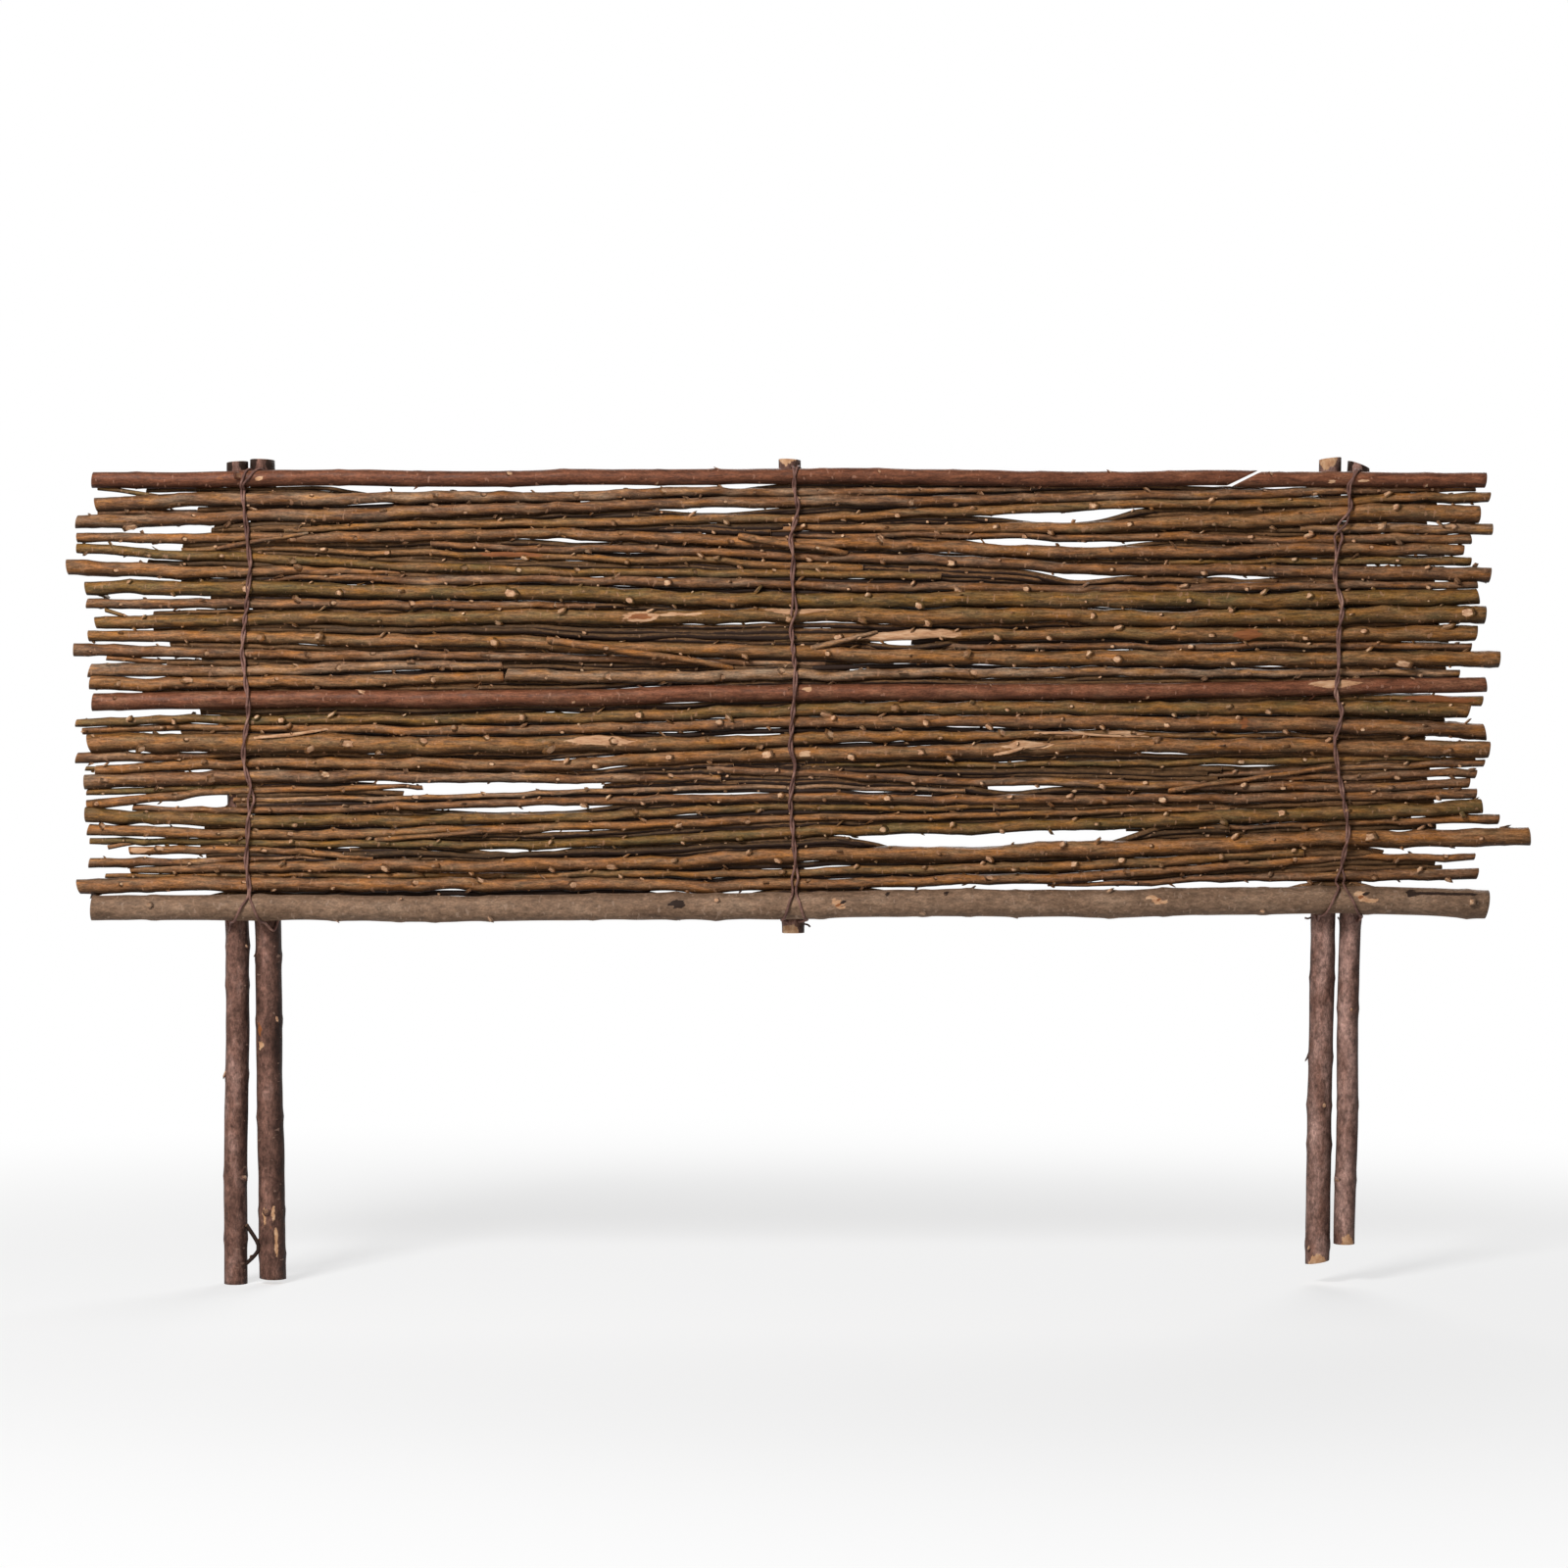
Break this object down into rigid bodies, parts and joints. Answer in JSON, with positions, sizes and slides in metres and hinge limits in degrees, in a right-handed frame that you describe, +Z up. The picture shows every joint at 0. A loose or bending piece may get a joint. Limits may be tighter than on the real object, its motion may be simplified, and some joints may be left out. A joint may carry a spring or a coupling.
{
  "type": "willow hurdle",
  "caption": "Low garden hurdle of slender willow rods and stouter rails laid across round posts, bound with wire, with stake legs to push into the ground.",
  "frame": {"origin": "ground line at the foot of the middle post, on the plane that touches the fronts of the posts", "axes": "+X along the hurdle to the right seen from the front, -Y to the front, +Z up"},
  "size_m": [1.193, 0.05, 0.6771],
  "materials": {
    "rod_bark": "matte bark",
    "rail_bark": "matte bark",
    "bottom_rail_bark": "matte bark",
    "post_bark": "matte bark",
    "wire": "dull coated wire"
  },
  "bodies": {
    "root": {"bottom_rail": "bottom_rail_bark", "lower_rod_01": "rod_bark", "lower_rod_02": "rod_bark", "lower_rod_03": "rod_bark", "lower_rod_04": "rod_bark", "lower_rod_05": "rod_bark", "lower_rod_06": "rod_bark", "lower_rod_07": "rod_bark", "lower_rod_08": "rod_bark", "lower_rod_09": "rod_bark", "lower_rod_10": "rod_bark", "lower_rod_11": "rod_bark", "lower_rod_12": "rod_bark", "lower_rod_13": "rod_bark", "lower_rod_14": "rod_bark", "lower_rod_15": "rod_bark", "lower_rod_16": "rod_bark", "lower_rod_17": "rod_bark", "lower_rod_18": "rod_bark", "lower_rod_19": "rod_bark", "lower_rod_20": "rod_bark", "lower_rod_21": "rod_bark", "lower_rod_22": "rod_bark", "lower_rod_23": "rod_bark", "lower_rod_24": "rod_bark", "lower_rod_25": "rod_bark", "middle_rail": "rail_bark", "post_left_inner": "post_bark", "post_left_outer": "post_bark", "post_middle": "post_bark", "post_right_inner": "post_bark", "post_right_outer": "post_bark", "top_rail": "rail_bark", "top_rail_end": "rail_bark", "upper_rod_01": "rod_bark", "upper_rod_02": "rod_bark", "upper_rod_03": "rod_bark", "upper_rod_04": "rod_bark", "upper_rod_05": "rod_bark", "upper_rod_06": "rod_bark", "upper_rod_07": "rod_bark", "upper_rod_08": "rod_bark", "upper_rod_09": "rod_bark", "upper_rod_10": "rod_bark", "upper_rod_11": "rod_bark", "upper_rod_12": "rod_bark", "upper_rod_13": "rod_bark", "upper_rod_14": "rod_bark", "upper_rod_15": "rod_bark", "upper_rod_16": "rod_bark", "upper_rod_17": "rod_bark", "upper_rod_18": "rod_bark", "upper_rod_19": "rod_bark", "upper_rod_20": "rod_bark", "upper_rod_21": "rod_bark", "upper_rod_22": "rod_bark", "upper_rod_23": "rod_bark", "wire_left": "wire", "wire_middle": "wire", "wire_right": "wire"}
  },
  "joints": []
}
